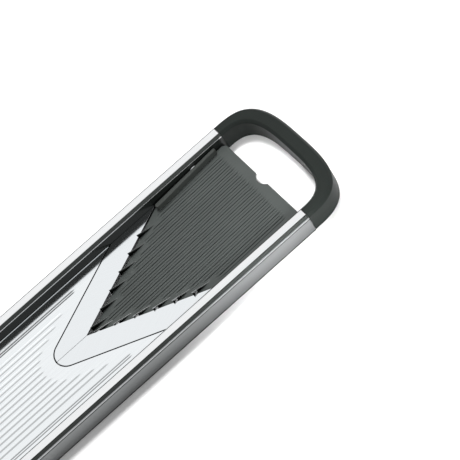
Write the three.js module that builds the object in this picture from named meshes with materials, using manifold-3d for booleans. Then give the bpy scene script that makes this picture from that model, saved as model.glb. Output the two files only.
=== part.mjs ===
// V-blade mandoline slicer, built as a three.js scene graph in millimetres.
// +Z is up, +Y points to the handle, +X to the right-hand rail, and the origin
// lies under the middle of the slicer, on the surface that it stands on.
import * as THREE from 'three';
import { mergeVertices } from 'three/addons/utils/BufferGeometryUtils.js';
import Module from 'manifold-3d';

const wasm = await Module();
wasm.setup();

// ---- driving dimensions ----
const FIT = 0.3;                    // gap kept between pieces that meet

const RAIL_OUT = 67.5;              // outer face of a rail, from the middle
const RAIL_IN = 55.5;               // inner face of a rail
const CAP_OUT = 65;                 // polished strip on top of a rail
const CAP_IN = 58;
const TOP_Z = 21;                   // top of the rails and the handle
const HEM_Z = 18.6;                 // top edge of the brushed side panels
const BASE_Z = 1.2;                 // height of the soft strips under the rails
const PANEL_T = 0.6;                // thickness of the side panels
const HEM_LINE = 1.5;               // pressed line of a side panel, below its top edge
const CAP_T = 1.1;                  // thickness of the polished strips
const TRIM_W = 0.6;                 // bright trim along the inner faces
const TRIM_H = 0.9;
const NICK = 0.25;                  // small chamfer of a steel strip
const RAIL_Y0 = -172;               // foot end of the rails
const RAIL_Y1 = 146;                // handle end of the rails
const LEDGE_IN = 52;                // inner face of the ledges that carry the deck
const LEDGE_Z0 = 2.3;
const LEDGE_Z1 = 5.7;

const TONGUE_X0 = 58;               // tongues of the handle and foot cap inside the rails
const TONGUE_X1 = 64;
const TONGUE_Z0 = 4.6;
const TONGUE_Z1 = 13;
const TONGUE_L = 20;
const SCREW_X = 61;                 // screws that hold the tongues
const SCREW_REAR = RAIL_Y1 - 11;
const SCREW_FOOT = RAIL_Y0 + 11;
const SCREW_R = 1.3;
const SCREW_HEAD_R = 2.3;
const SCREW_HEAD_Z = 3;

const DECK_Z = 9;                   // working face of the runway and the blades
const DECK_X = 55.2;
const PLATE_T = 0.6;
const TRAY_Z0 = 6;                  // tray under the runway plate
const TRAY_Z1 = 8.1;
const TRAY_RIBS = [-30, 0, 30];     // stiffening ribs under the tray
const TRAY_RIB_END = -84;
const FLANGE_H = 0.9;               // turned-up edges of the runway plate

const V_HALF = THREE.MathUtils.degToRad(26.04);   // half the angle of the V
const APEX_Y = -45.3;               // where the two cutting edges meet
const WING = 21;                    // width of a blade, square to its edge
const NOSE = 31.2;                  // from the apex to the rounded nose
const BLADE_T = 0.9;
const V_GAP = 0.7;                  // slot between the blades and the runway
const SEAM = 0.15;                  // half the seam between the two blades
const CARRIER_BACK = 11;            // from the cutting edge to the moulded carrier
const RIVETS = [16, 44];            // distances of the rivets from the middle
const RIVET_BACK = 16;
const RIVET_R = 1.5;
const RIVET_HEAD_R = 2.6;

const RUN_PITCH = 5.3;              // ridges pressed in the runway
const RUN_SIDE = 7;                 // grooves on each side of the middle one
const RUN_MARGIN = 9;               // plain band along the blades
const RUN_GROOVE_W = 2.2;
const RUN_GROOVE_D = 0.34;
const CREASE_X = 44.3;              // fine line outside the ridges
const CREASE_MARGIN = 11;
const CREASE_W = 0.7;
const CREASE_D = 0.3;

const PITCH = Math.atan(0.0346);    // slope of the julienne insert
const INSERT_Z = 4.6;               // its face at the apex
const INSERT_X = 53.5;
const INSERT_Y1 = 190;              // its length behind the apex
const INSERT_T = 2.5;
const RIB_PITCH = 5.4;              // grooves in its face
const RIB_SIDE = 8;
const RIB_MARGIN = 8;               // plain band along the V
const RIB_BAND = 9;                 // plain band along the rear edge
const RIB_W = 1.5;
const RIB_D = 0.7;
const NOTCH_R = 11;                 // thumb notch in the rear edge
const NOTCH_OUT = 7;                // its centre lies this far behind the edge
const DISH_R = 30;                  // shallow dish for the thumb
const DISH_BACK = 12;
const DISH_D = 0.5;

const KNIFE_N = 6;                  // julienne knives on each side
const KNIFE_X0 = 2.85;
const KNIFE_PITCH = 7.624;
const KNIFE_T = 0.6;
const KNIFE_H = 5.4;
const KNIFE_L = 16.6;
const KNIFE_SEAT = 1.2;             // depth of a knife in its slot
const KNIFE_DROP = 3.4;             // how far its front edge reaches below the face
const KNIFE_TAB = 0.9;              // width of that part

const PIN_X = -50;                  // pivot of the latch arm on the insert
const PIN_Y = 114.5;
const PIN_R = 1.2;
const ARM_YAW = THREE.MathUtils.degToRad(2.4);
const ARM_L = 64.5;
const ARM_H = 5.2;
const PIN_FOOT = -5.6;
const PIN_TOP = ARM_H - 1.5;        // the pin ends in a blind hole in the arm
const ARM_FRONT = 2.8;              // half the arm's width at the pivot and at its far end
const ARM_REAR = 2;
const BUMP_AT = 42.3;               // bump that bears on the left rail, from the pivot
const BUMP_R = 4;
const SPRING_TURNS = 3;
const SPRING_H = 2.1;
const SPRING_R = 1.6;
const WIRE_R = 0.25;

const HANDLE_REACH = 44;            // from the rail ends to the far side of the handle
const HANDLE_BAR = 14;
const ROUND = 3.2;                  // power of the handle's rounded outline
const SLOPE = 2.5;                  // width of the sloping shoulders
const SHOULDER = SLOPE - 0.2;       // height of the shoulders on the rail cores
const FOOT_L = 18;                  // length of the foot end cap
const FOOT_CORNER = 9;
const PAD_X = 46;                   // half the length of the grip pad under it
const BRACE_Y = 104;                // cross brace under the insert
const BRACE_HALF = 7;

// ---- finishes ----
const finish = (color, roughness, metalness) => ({ color, roughness, metalness });
const POLISHED = finish(0xe9edf0, 0.12, 1);
const BRUSHED = finish(0xb4b8ba, 0.34, 1);
const SATIN = finish(0xdfe4e8, 0.22, 1);
const KNIFE_STEEL = finish(0xd2d6d8, 0.15, 1);
const BLACK_GLOSS = finish(0x1b1e1c, 0.25, 0);
const CHARCOAL = finish(0x464a48, 0.55, 0);
const INSERT_GREY = finish(0x545a58, 0.5, 0);
const RUBBER = finish(0x202221, 0.85, 0);
const ZINC = finish(0x9fa3a4, 0.35, 1);

// ---- helpers ----
function solid(geometry) {
  const bare = geometry.index ? geometry.toNonIndexed() : geometry.clone();
  bare.deleteAttribute('normal');
  bare.deleteAttribute('uv');
  const merged = mergeVertices(bare, 1e-4);
  return new wasm.Manifold(new wasm.Mesh({
    numProp: 3,
    vertProperties: new Float32Array(merged.attributes.position.array),
    triVerts: new Uint32Array(merged.index.array),
  }));
}

function geometryOf(body) {
  const mesh = body.getMesh();
  const geometry = new THREE.BufferGeometry();
  geometry.setAttribute('position', new THREE.BufferAttribute(mesh.vertProperties, 3));
  geometry.setIndex(new THREE.BufferAttribute(mesh.triVerts, 1));
  return geometry;
}

const cut = (body, ...tools) => tools.reduce((rest, tool) => rest.subtract(tool), body);
const join = (body, ...others) => others.reduce((sum, other) => sum.add(other), body);

function block(x0, x1, y0, y1, z0, z1) {
  const box = new THREE.BoxGeometry(Math.abs(x1 - x0), y1 - y0, z1 - z0);
  return solid(box.translate((x0 + x1) / 2, (y0 + y1) / 2, (z0 + z1) / 2));
}

function prism(points, depth, options = {}) {
  const shape = new THREE.Shape(points.map(([x, y]) => new THREE.Vector2(x, y)));
  return new THREE.ExtrudeGeometry(shape, { depth, bevelEnabled: false, ...options });
}

// a flat outline in X and Y, given thickness from z0 to z1
const plate = (points, z0, z1) => solid(prism(points, z1 - z0).translate(0, 0, z0));

// an outline in X and Z, run along Y
const along = (points, y0, y1) =>
  solid(prism(points, y1 - y0).rotateX(Math.PI / 2).translate(0, y1, 0));

// an outline in Y and Z, run along X
function across(points, x0, x1) {
  const turn = new THREE.Matrix4().makeBasis(
    new THREE.Vector3(0, 1, 0), new THREE.Vector3(0, 0, 1), new THREE.Vector3(1, 0, 0));
  return solid(prism(points, x1 - x0).applyMatrix4(turn).translate(x0, 0, 0));
}

function peg(x, y, z0, z1, radius, sides = 16) {
  const round = new THREE.CylinderGeometry(radius, radius, z1 - z0, sides);
  return solid(round.rotateX(Math.PI / 2).translate(x, y, (z0 + z1) / 2));
}

const flip = (points, side) => {
  const placed = points.map(([x, y]) => [side * x, y]);
  return side < 0 ? placed.reverse() : placed;
};

const model = new THREE.Group();
const insert = new THREE.Group();
insert.position.set(0, APEX_Y, INSERT_Z);
insert.rotation.x = PITCH;
model.add(insert);

function piece(name, body, material, parent = model) {
  const geometry = body.isBufferGeometry ? body : geometryOf(body);
  const mesh = new THREE.Mesh(geometry, new THREE.MeshStandardMaterial(material));
  mesh.name = name;
  parent.add(mesh);
  return mesh;
}

const SIDES = [['left', -1], ['right', 1]];

// ---- the V outline ----
const SIN = Math.sin(V_HALF);
const COS = Math.cos(V_HALF);

// Y of a line that runs beside a cutting edge, d in front of it, at x
const beside = (x, d) => APEX_Y + (Math.abs(x) * COS - d) / SIN;

const NOSE_DROP = (NOSE - WING) / (1 - SIN);
const NOSE_Y = APEX_Y - NOSE_DROP;
const NOSE_R = WING - NOSE_DROP * SIN;

// the blades' rounded front outline, grown by extra, from right to left
function noseOutline(extra, reach) {
  const radius = NOSE_R + extra;
  const steps = 14;
  const points = [[reach, beside(reach, WING + extra)]];
  for (let i = 0; i <= steps; i += 1) {
    const angle = -V_HALF - (Math.PI - 2 * V_HALF) * (i / steps);
    points.push([radius * Math.cos(angle), NOSE_Y + radius * Math.sin(angle)]);
  }
  points.push([-reach, beside(reach, WING + extra)]);
  return points;
}

// everything behind that outline, as a tool to cut the runway with
function behindNose(extra, z0, z1) {
  const reach = 80;
  return plate([[-reach, 160], ...noseOutline(extra, reach).reverse(), [reach, 160]], z0, z1);
}

// ---- rails ----
function railCore(side) {
  const outer = RAIL_OUT - PANEL_T - FIT;
  const section = [
    [RAIL_IN, BASE_Z + FIT], [outer, BASE_Z + FIT], [outer, HEM_Z + FIT],
    [RAIL_OUT - FIT, HEM_Z + FIT], [CAP_OUT + FIT, HEM_Z + SHOULDER],
    [CAP_OUT + FIT, TOP_Z - CAP_T - FIT], [CAP_IN - FIT, TOP_Z - CAP_T - FIT],
    [CAP_IN - FIT, HEM_Z + SHOULDER], [RAIL_IN + FIT, HEM_Z + FIT],
    [RAIL_IN + TRIM_W + FIT, HEM_Z + FIT], [RAIL_IN + TRIM_W + FIT, HEM_Z - TRIM_H - FIT],
    [RAIL_IN, HEM_Z - TRIM_H - FIT],
  ];
  let core = along(flip(section, side), RAIL_Y0, RAIL_Y1);
  const x0 = Math.min(side * LEDGE_IN, side * (RAIL_IN + 1));
  const x1 = Math.max(side * LEDGE_IN, side * (RAIL_IN + 1));
  const insertUnder = (y) => INSERT_Z + Math.tan(PITCH) * (y - APEX_Y) - INSERT_T - FIT - 0.1;
  const rampStart = beside(LEDGE_IN, 0) + 4;
  const ledge = [
    [RAIL_Y0, LEDGE_Z0], [RAIL_Y1 - 2, LEDGE_Z0], [RAIL_Y1 - 2, insertUnder(RAIL_Y1 - 2)],
    [rampStart, insertUnder(rampStart)], [rampStart, LEDGE_Z1], [RAIL_Y0, LEDGE_Z1],
  ];
  core = join(core, across(ledge, x0, x1));
  const pocket = (y0, y1) =>
    block(side * (TONGUE_X0 - FIT), side * (TONGUE_X1 + FIT), y0, y1,
      TONGUE_Z0 - FIT, TONGUE_Z1 + FIT);
  core = cut(core, pocket(RAIL_Y1 - TONGUE_L - FIT, RAIL_Y1 + 1),
    pocket(RAIL_Y0 - 1, RAIL_Y0 + TONGUE_L + FIT));
  for (const y of [SCREW_REAR, SCREW_FOOT]) {
    core = cut(core,
      peg(side * SCREW_X, y, 0, SCREW_HEAD_Z + FIT, SCREW_HEAD_R + FIT),
      peg(side * SCREW_X, y, 0, TONGUE_Z1, SCREW_R + FIT));
  }
  return core;
}

function tongue(side, y0, y1, screwY) {
  return cut(
    block(side * TONGUE_X0, side * TONGUE_X1, y0, y1, TONGUE_Z0, TONGUE_Z1),
    peg(side * SCREW_X, screwY, TONGUE_Z0 - 1, TONGUE_Z1 - 1, SCREW_R + FIT));
}

for (const [name, side] of SIDES) {
  piece(`${name}_rail_core`, railCore(side), BLACK_GLOSS);

  const line = HEM_Z - HEM_LINE;
  const panel = [
    [RAIL_OUT - PANEL_T, BASE_Z + 0.1], [RAIL_OUT, BASE_Z + 0.1], [RAIL_OUT, line - 0.35],
    [RAIL_OUT - NICK, line - 0.1], [RAIL_OUT - NICK, line + 0.1],
    [RAIL_OUT, line + 0.35], [RAIL_OUT, HEM_Z], [RAIL_OUT - PANEL_T, HEM_Z],
  ];
  piece(`${name}_side_panel`, along(flip(panel, side), RAIL_Y0, RAIL_Y1), BRUSHED);

  const strip = [
    [CAP_IN, TOP_Z - CAP_T], [CAP_OUT, TOP_Z - CAP_T], [CAP_OUT, TOP_Z - NICK],
    [CAP_OUT - NICK, TOP_Z], [CAP_IN + NICK, TOP_Z], [CAP_IN, TOP_Z - NICK],
  ];
  piece(`${name}_top_strip`, along(flip(strip, side), RAIL_Y0, RAIL_Y1), POLISHED);

  const trim = [
    [RAIL_IN, HEM_Z - TRIM_H], [RAIL_IN + TRIM_W, HEM_Z - TRIM_H],
    [RAIL_IN + TRIM_W, HEM_Z], [RAIL_IN, HEM_Z],
  ];
  piece(`${name}_inner_trim`, along(flip(trim, side), RAIL_Y0, RAIL_Y1), POLISHED);

  const base = [
    [RAIL_IN + 0.6, 0.3], [RAIL_IN + 0.9, 0], [RAIL_OUT - 0.4, 0], [RAIL_OUT - 0.1, 0.3],
    [RAIL_OUT - 0.1, BASE_Z - 0.2], [RAIL_IN + 0.6, BASE_Z - 0.2],
  ];
  piece(`${name}_base_strip`, along(flip(base, side), RAIL_Y0, RAIL_Y1), RUBBER);
}

// ---- handle ----
// the outline is a superellipse, from its right end over the far side to its left end
function loop(halfWidth, reach, steps) {
  const points = [];
  for (let i = 0; i <= steps; i += 1) {
    const angle = (Math.PI * i) / steps;
    const c = Math.cos(angle);
    const s = Math.sin(angle);
    const x = halfWidth * Math.sign(c) * Math.abs(c) ** (2 / ROUND);
    points.push([x, reach * s ** (2 / ROUND)]);
  }
  return points;
}

function handleLoop() {
  const start = RAIL_Y1 + FIT;
  const stub = 8;                   // run past the joint, then cut square
  const outer = loop(RAIL_OUT, HANDLE_REACH, 44);
  const inner = loop(RAIL_IN, HANDLE_REACH - HANDLE_BAR, 36).reverse();
  const outline = [[RAIL_OUT, -stub], ...outer, [-RAIL_OUT, -stub], [-RAIL_IN, -stub], ...inner,
    [RAIL_IN, -stub]];
  const rise = TOP_Z - HEM_Z;
  const band = prism(outline, TOP_Z - 2 * rise, {
    bevelEnabled: true, bevelThickness: rise, bevelSize: SLOPE, bevelOffset: -SLOPE,
    bevelSegments: 2,
  });
  let handle = solid(band.translate(0, start, rise));
  handle = cut(handle, block(-80, 80, start - 20, start, -5, 30));
  for (const [, side] of SIDES) {
    handle = join(handle, tongue(side, RAIL_Y1 - TONGUE_L, start + 2, SCREW_REAR));
  }
  return handle;
}
piece('handle_loop', handleLoop(), CHARCOAL);

// ---- foot end ----
function footCap() {
  const end = RAIL_Y0 - FIT;
  const far = end - FOOT_L + FIT;
  const corner = FOOT_CORNER;
  const steps = 6;
  const plan = [[-RAIL_OUT, end], [-RAIL_OUT, far + corner]];
  for (let i = 1; i <= steps; i += 1) {
    const angle = (Math.PI / 2) * (i / steps);
    plan.push([-RAIL_OUT + corner * (1 - Math.cos(angle)), far + corner * (1 - Math.sin(angle))]);
  }
  const right = plan.map(([x, y]) => [-x, y]).reverse();
  const body = plate([...plan, ...right], 0, TOP_Z);
  const section = [
    [-RAIL_OUT, 0.8], [-RAIL_OUT + 0.8, 0], [RAIL_OUT - 0.8, 0], [RAIL_OUT, 0.8],
    [RAIL_OUT, HEM_Z], [CAP_OUT, TOP_Z], [CAP_IN, TOP_Z], [RAIL_IN, HEM_Z], [RAIL_IN, DECK_Z],
    [-RAIL_IN, DECK_Z], [-RAIL_IN, HEM_Z], [-CAP_IN, TOP_Z], [-CAP_OUT, TOP_Z],
    [-RAIL_OUT, HEM_Z],
  ];
  let cap = body.intersect(along(section, far - 1, end + 1));
  const lip = [[far - 1, DECK_Z - 3.2], [far + 8, DECK_Z + 0.1], [far - 1, DECK_Z + 0.1]];
  cap = cut(cap, across(lip, -RAIL_IN, RAIL_IN));
  cap = cut(cap, block(-PAD_X - FIT, PAD_X + FIT, far + 3.7, end - 2.7, -1, 1.5));
  for (const [, side] of SIDES) {
    cap = join(cap, tongue(side, end - 2, RAIL_Y0 + TONGUE_L, SCREW_FOOT));
  }
  return cap;
}
piece('foot_end_cap', footCap(), CHARCOAL);
piece('foot_pad', block(-PAD_X, PAD_X, RAIL_Y0 - FOOT_L + 4, RAIL_Y0 - 3.3, 0, 1.2), RUBBER);

// ---- frame screws ----
for (const [name, side] of SIDES) {
  for (const [end, y] of [['rear', SCREW_REAR], ['foot', SCREW_FOOT]]) {
    const z0 = BASE_Z + FIT;
    const head = SCREW_HEAD_Z;
    const profile = [
      [0, z0 + 0.8], [0.7, z0 + 0.8], [0.9, z0], [SCREW_HEAD_R, z0], [SCREW_HEAD_R, head - 0.5],
      [SCREW_R, head], [SCREW_R, TONGUE_Z1 - 2.2], [0, TONGUE_Z1 - 1.6],
    ].map(([r, z]) => new THREE.Vector2(r, z));
    const screw = new THREE.LatheGeometry(profile, 12).rotateX(Math.PI / 2);
    piece(`${name}_${end}_screw`, solid(screw.translate(side * SCREW_X, y, 0)), ZINC);
  }
}

// ---- runway ----
const SHEET_Y1 = 60;                // the sheet is cut back from here along the V

// Y at which the grooves of the runway stop, at x
function grooveEnd(x) {
  const radius = NOSE_R + RUN_MARGIN;
  if (Math.abs(x) < radius * COS) return NOSE_Y - Math.sqrt(radius ** 2 - x ** 2);
  return beside(x, WING + RUN_MARGIN);
}

// a tool that cuts a V-shaped groove down from z
function vee(x, y0, y1, z, width, depth) {
  const section = [[x - width / 2, z + 0.01], [x, z - depth], [x + width / 2, z + 0.01]];
  return along(section, y0, y1);
}

function runwayPlate() {
  const z0 = DECK_Z - PLATE_T;
  let deck = block(-DECK_X, DECK_X, RAIL_Y0, SHEET_Y1, z0, DECK_Z);
  for (const [, side] of SIDES) {
    deck = join(deck, block(side * (DECK_X - 0.5), side * DECK_X, RAIL_Y0, SHEET_Y1, z0,
      DECK_Z + FLANGE_H));
  }
  deck = cut(deck, behindNose(V_GAP, z0 - 1, DECK_Z + FLANGE_H + 1));
  for (let i = -RUN_SIDE; i <= RUN_SIDE; i += 1) {
    const x = i * RUN_PITCH;
    deck = cut(deck, vee(x, RAIL_Y0 + 3, grooveEnd(x), DECK_Z, RUN_GROOVE_W, RUN_GROOVE_D));
  }
  for (const [, side] of SIDES) {
    const x = side * CREASE_X;
    const end = beside(x, WING + CREASE_MARGIN);
    deck = cut(deck, vee(x, RAIL_Y0 + 3, end, DECK_Z, CREASE_W, CREASE_D));
  }
  return deck;
}
piece('runway_plate', runwayPlate(), SATIN);

function runwayTray() {
  let tray = block(-DECK_X + 0.2, DECK_X - 0.2, RAIL_Y0, SHEET_Y1, TRAY_Z0, TRAY_Z1);
  tray = cut(tray, behindNose(V_GAP, TRAY_Z0 - 1, TRAY_Z1 + 1));
  for (const x of TRAY_RIBS) {
    tray = join(tray,
      block(x - 1, x + 1, RAIL_Y0 + 2, TRAY_RIB_END, TRAY_Z0 - 2.4, TRAY_Z0 + 0.5));
  }
  return tray;
}
piece('runway_tray', runwayTray(), CHARCOAL);

// ---- blades and their carriers ----
// one side of the V, between a line behind its cutting edge and the nose outline
function wing(side, behind, inset, z0, z1) {
  const nose = noseOutline(-inset, DECK_X).filter(([x]) => x > SEAM + 0.5).reverse();
  const points = [[SEAM, beside(SEAM, behind)], [SEAM, NOSE_Y - NOSE_R + inset],
    ...nose, [DECK_X, beside(DECK_X, behind)]];
  return plate(flip(points, side), z0, z1);
}

// the grinding tool runs along the edge and takes the underside away
function blade(side) {
  const z0 = DECK_Z - BLADE_T;
  const before = 20;                // the tool starts ahead of the apex
  const reach = 170;
  const edge = new THREE.Vector3(SIN, side * COS, 0);
  const start = side > 0 ? -before : reach - before;
  const frame = new THREE.Matrix4().makeBasis(
    new THREE.Vector3(-side * COS, SIN, 0), new THREE.Vector3(0, 0, 1), edge);
  const tool = prism([[-3.2, -0.01], [0.5, 1.02], [2, -0.01]], reach)
    .applyMatrix4(frame)
    .translate(side * (start * SIN - 0.2 * COS), APEX_Y + start * COS, z0 - 0.1);
  return cut(wing(side, 0, 0, z0, DECK_Z), solid(tool));
}

for (const [name, side] of SIDES) {
  const carrierTop = DECK_Z - BLADE_T - FIT;
  const carrier = wing(side, CARRIER_BACK, 0.4, TRAY_Z0, carrierTop);
  const holes = [];
  for (const [i, x] of RIVETS.entries()) {
    const y = beside(x, RIVET_BACK);
    const seat = TRAY_Z0 - FIT;
    holes.push(peg(side * x, y, TRAY_Z0 - 1, DECK_Z, RIVET_R + FIT, 12));
    const profile = [[0, seat - 0.8], [2, seat - 0.6], [RIVET_HEAD_R, seat], [RIVET_R, seat],
      [RIVET_R, carrierTop], [0, carrierTop]].map(([r, z]) => new THREE.Vector2(r, z));
    const rivet = new THREE.LatheGeometry(profile, 12).rotateX(Math.PI / 2);
    piece(`${name}_blade_rivet_${i + 1}`, solid(rivet.translate(side * x, y, 0)), ZINC);
  }
  piece(`${name}_blade`, blade(side), SATIN);
  piece(`${name}_blade_carrier`, cut(carrier, ...holes), CHARCOAL);
}

// ---- cross brace under the insert ----
function crossBrace() {
  const bar = (halfWidth, z1) =>
    block(-halfWidth, halfWidth, BRACE_Y - BRACE_HALF, BRACE_Y + BRACE_HALF, 0.6, z1);
  return join(bar(RAIL_IN - 0.5, LEDGE_Z0 - FIT), bar(LEDGE_IN - FIT, 4.2));
}
piece('rear_cross_brace', crossBrace(), CHARCOAL);

// ---- julienne insert, in its own sloping frame ----
// y is measured from the apex, z from the ribbed face
const edgeY = (x, d) => (Math.abs(x) * COS - d) / SIN;
const knifeX = (i) => KNIFE_X0 + i * KNIFE_PITCH;
const knifeY = (i) => edgeY(knifeX(i) + KNIFE_T / 2, -0.15);

function insertPlate() {
  const gap = -0.8;
  const half = [[INSERT_X, edgeY(INSERT_X, gap)], [INSERT_X, INSERT_Y1 - 3],
    [INSERT_X - 3, INSERT_Y1]];
  const outline = [[0, edgeY(0, gap)], ...half, ...flip(half, -1)];
  let body = plate(outline, -INSERT_T, 0);
  for (let i = -RIB_SIDE; i <= RIB_SIDE; i += 1) {
    const x = i * RIB_PITCH;
    body = cut(body, vee(x, edgeY(x, -RIB_MARGIN), INSERT_Y1 - RIB_BAND, 0, RIB_W, RIB_D));
  }
  for (const [, side] of SIDES) {
    for (let i = 0; i < KNIFE_N; i += 1) {
      const x = side * knifeX(i);
      const w = KNIFE_T / 2 + FIT;
      const y = knifeY(i);
      body = cut(body,
        block(x - w, x + w, y - 3, y + KNIFE_L + 0.9, -KNIFE_SEAT - FIT, 1),
        block(x - w, x + w, y - 3, y + KNIFE_TAB + FIT, -INSERT_T - 1, 1));
    }
  }
  const dish = new THREE.SphereGeometry(DISH_R, 40, 24).rotateX(Math.PI / 2)
    .translate(0, INSERT_Y1 - DISH_BACK, DISH_R - DISH_D);
  const notch = peg(0, INSERT_Y1 + NOTCH_OUT, -INSERT_T - 1, 2, NOTCH_R, 32);
  return cut(body, solid(dish), notch, peg(PIN_X, PIN_Y, -9, 2, PIN_R + FIT));
}
piece('insert_plate', insertPlate(), INSERT_GREY, insert);

function knife(side, i) {
  const x = side * knifeX(i);
  const y = knifeY(i);
  const outline = [[0, KNIFE_H], [0, -KNIFE_DROP], [KNIFE_TAB, -KNIFE_DROP],
    [KNIFE_TAB, -KNIFE_SEAT],
    [KNIFE_L + 0.5, -KNIFE_SEAT], [KNIFE_L + 0.5, -0.2]]
    .map(([dy, z]) => [y + dy, z]);
  return across(outline, x - KNIFE_T / 2, x + KNIFE_T / 2);
}
for (const [name, side] of SIDES) {
  for (let i = 0; i < KNIFE_N; i += 1) {
    piece(`julienne_knife_${name}_${i + 1}`, knife(side, i), KNIFE_STEEL, insert);
  }
}

// ---- latch on the insert ----
function latchArm() {
  const roundEnd = (radius, y, from) => Array.from({ length: 9 }, (_, i) => {
    const angle = from + (Math.PI * i) / 8;
    return [radius * Math.cos(angle), y + radius * Math.sin(angle)];
  });
  const outline = [...roundEnd(ARM_FRONT, 0, Math.PI), ...roundEnd(ARM_REAR, ARM_L, 0)];
  const soft = 0.4;                 // chamfer round the arm
  const bar = solid(prism(outline, ARM_H - FIT - 2 * soft, {
    bevelEnabled: true, bevelThickness: soft, bevelSize: soft, bevelOffset: -soft,
    bevelSegments: 1,
  }).translate(0, 0, FIT + soft));
  const bump = peg(0.6, BUMP_AT, 0.9, ARM_H - 0.7, BUMP_R, 40)
    .intersect(block(-4, 0, BUMP_AT - 8, BUMP_AT + 8, 0, ARM_H));
  return cut(join(bar, bump), peg(0, 0, -1, PIN_TOP + FIT, PIN_R + FIT));
}
const arm = piece('latch_arm', latchArm(), INSERT_GREY, insert);
arm.position.set(PIN_X, PIN_Y, 0);
arm.rotation.z = ARM_YAW;

const pin = new THREE.LatheGeometry([[0, PIN_FOOT], [PIN_R, PIN_FOOT], [PIN_R, PIN_TOP - 0.3],
  [PIN_R - 0.3, PIN_TOP], [0, PIN_TOP]].map(([r, z]) => new THREE.Vector2(r, z)), 16);
piece('latch_pin', solid(pin.rotateX(Math.PI / 2).translate(PIN_X, PIN_Y, 0)), ZINC, insert);

class Coil extends THREE.Curve {
  getPoint(t, target = new THREE.Vector3()) {
    const angle = t * 2 * Math.PI * SPRING_TURNS;
    return target.set(SPRING_R * Math.cos(angle), SPRING_R * Math.sin(angle), t * SPRING_H);
  }
}
const wire = new THREE.Shape();
wire.absarc(0, 0, WIRE_R, 0, 2 * Math.PI);
const coil = new THREE.ExtrudeGeometry(wire, {
  extrudePath: new Coil(), steps: 36, curveSegments: 3, bevelEnabled: false,
});
piece('latch_spring', solid(coil.translate(PIN_X, PIN_Y, -5.2)), ZINC, insert);

export default model;
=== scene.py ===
from math import atan, cos, pi, radians, sin, sqrt

import bmesh
import bpy
from mathutils import Matrix, Vector


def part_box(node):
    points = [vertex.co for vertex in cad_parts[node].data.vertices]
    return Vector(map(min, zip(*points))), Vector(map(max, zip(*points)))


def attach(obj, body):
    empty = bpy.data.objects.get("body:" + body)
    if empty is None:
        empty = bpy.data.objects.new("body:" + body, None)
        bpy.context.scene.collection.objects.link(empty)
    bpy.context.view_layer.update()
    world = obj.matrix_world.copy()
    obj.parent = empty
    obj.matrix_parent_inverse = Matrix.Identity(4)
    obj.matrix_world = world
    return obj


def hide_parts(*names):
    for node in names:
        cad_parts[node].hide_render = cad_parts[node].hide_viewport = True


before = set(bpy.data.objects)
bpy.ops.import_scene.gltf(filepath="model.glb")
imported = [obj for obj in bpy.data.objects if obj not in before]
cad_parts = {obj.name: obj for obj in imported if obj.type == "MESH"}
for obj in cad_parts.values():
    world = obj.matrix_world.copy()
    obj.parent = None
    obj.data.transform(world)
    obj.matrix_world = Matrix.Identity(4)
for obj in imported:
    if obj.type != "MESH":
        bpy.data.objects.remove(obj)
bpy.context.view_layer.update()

bl_info = {
    "name": "V-Blade Slicer",
    "version": (1, 0, 0),
    "blender": (4, 5, 0),
    "location": "View3D > Sidebar > Slicer",
    "description": "Builds a V-blade mandoline slicer round its fixed frame",
    "category": "Object",
}

MM = 0.001

# ---------------------------------------------------------------------------
# Places taken from the frame, in metres
# ---------------------------------------------------------------------------

CORE_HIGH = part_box("right_rail_core")[1]
STRIP_LOW, STRIP_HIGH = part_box("right_top_strip")
PANEL_LOW, PANEL_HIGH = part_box("right_side_panel")
TRIM_LOW, TRIM_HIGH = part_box("right_inner_trim")
DECK_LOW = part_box("runway_plate")[0]
BLADE_LOW, BLADE_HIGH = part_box("right_blade")
HANDLE_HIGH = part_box("handle_loop")[1]

RAIL_Y1 = CORE_HIGH.y
RAIL_IN = TRIM_LOW.x
HEM_Z = PANEL_HIGH.z
HEM_FOLD = 1.7 * MM     # height of the folded edge of a side panel
HEM_LINE = 1.2 * MM     # height of the fine line below it, painted near-black as painted shade under the fold
STRIP_EDGE = 0.3 * MM   # dark outer edge of a top strip
GAP_SHADE_DEPTH = 0.15 * MM    # depth below which the walls of the runway's gap are painted near-black as painted shade
DECK_Z = BLADE_HIGH.z
DECK_X = BLADE_HIGH.x

# the V of the two blades
V_HALF = radians(26.04)
SIN = sin(V_HALF)
COS = cos(V_HALF)
WING = 21 * MM
APEX_Y = BLADE_HIGH.y - DECK_X * COS / SIN
NOSE_TIP = BLADE_LOW.y
NOSE_DROP = (APEX_Y - NOSE_TIP - WING) / (1 - SIN)
NOSE_Y = APEX_Y - NOSE_DROP
NOSE_R = WING - NOSE_DROP * SIN

# the sloping insert: its face starts at the apex
PITCH = atan(0.0346)
INSERT_Z = 4.6 * MM
INSERT_FRAME = Matrix.Translation((0, APEX_Y, INSERT_Z)) @ Matrix.Rotation(PITCH, 4, "X")
INSERT_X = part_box("insert_plate")[1].x
INSERT_LONG = 190 * MM
INSERT_THICK = 2.5 * MM

SIDES = (("left", -1), ("right", 1))


def beside(x, ahead):
    """Y of the line that runs beside a cutting edge, ahead of it by that much, at x."""
    return APEX_Y + (abs(x) * COS - ahead) / SIN


def nose_line(x, extra):
    """Y of the blades' rounded front outline at x, grown by extra."""
    radius = NOSE_R + extra
    if abs(x) < radius * COS:
        return NOSE_Y - sqrt(radius * radius - x * x)
    return beside(x, WING + extra)


def edge_y(x, ahead):
    """The same line as beside(), measured from the apex in the insert's own frame."""
    return (abs(x) * COS - ahead) / SIN


# ---------------------------------------------------------------------------
# Settings that a user would change
# ---------------------------------------------------------------------------

def length(name, description, default):
    return bpy.props.FloatProperty(
        name=name, description=description, default=default, min=0, unit="LENGTH")


def factor(name, description, default):
    return bpy.props.FloatProperty(
        name=name, description=description, default=default, min=0, max=1, subtype="FACTOR")


def colour(name, description, default):
    return bpy.props.FloatVectorProperty(
        name=name, description=description, default=default, min=0, max=1, subtype="COLOR")


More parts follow.
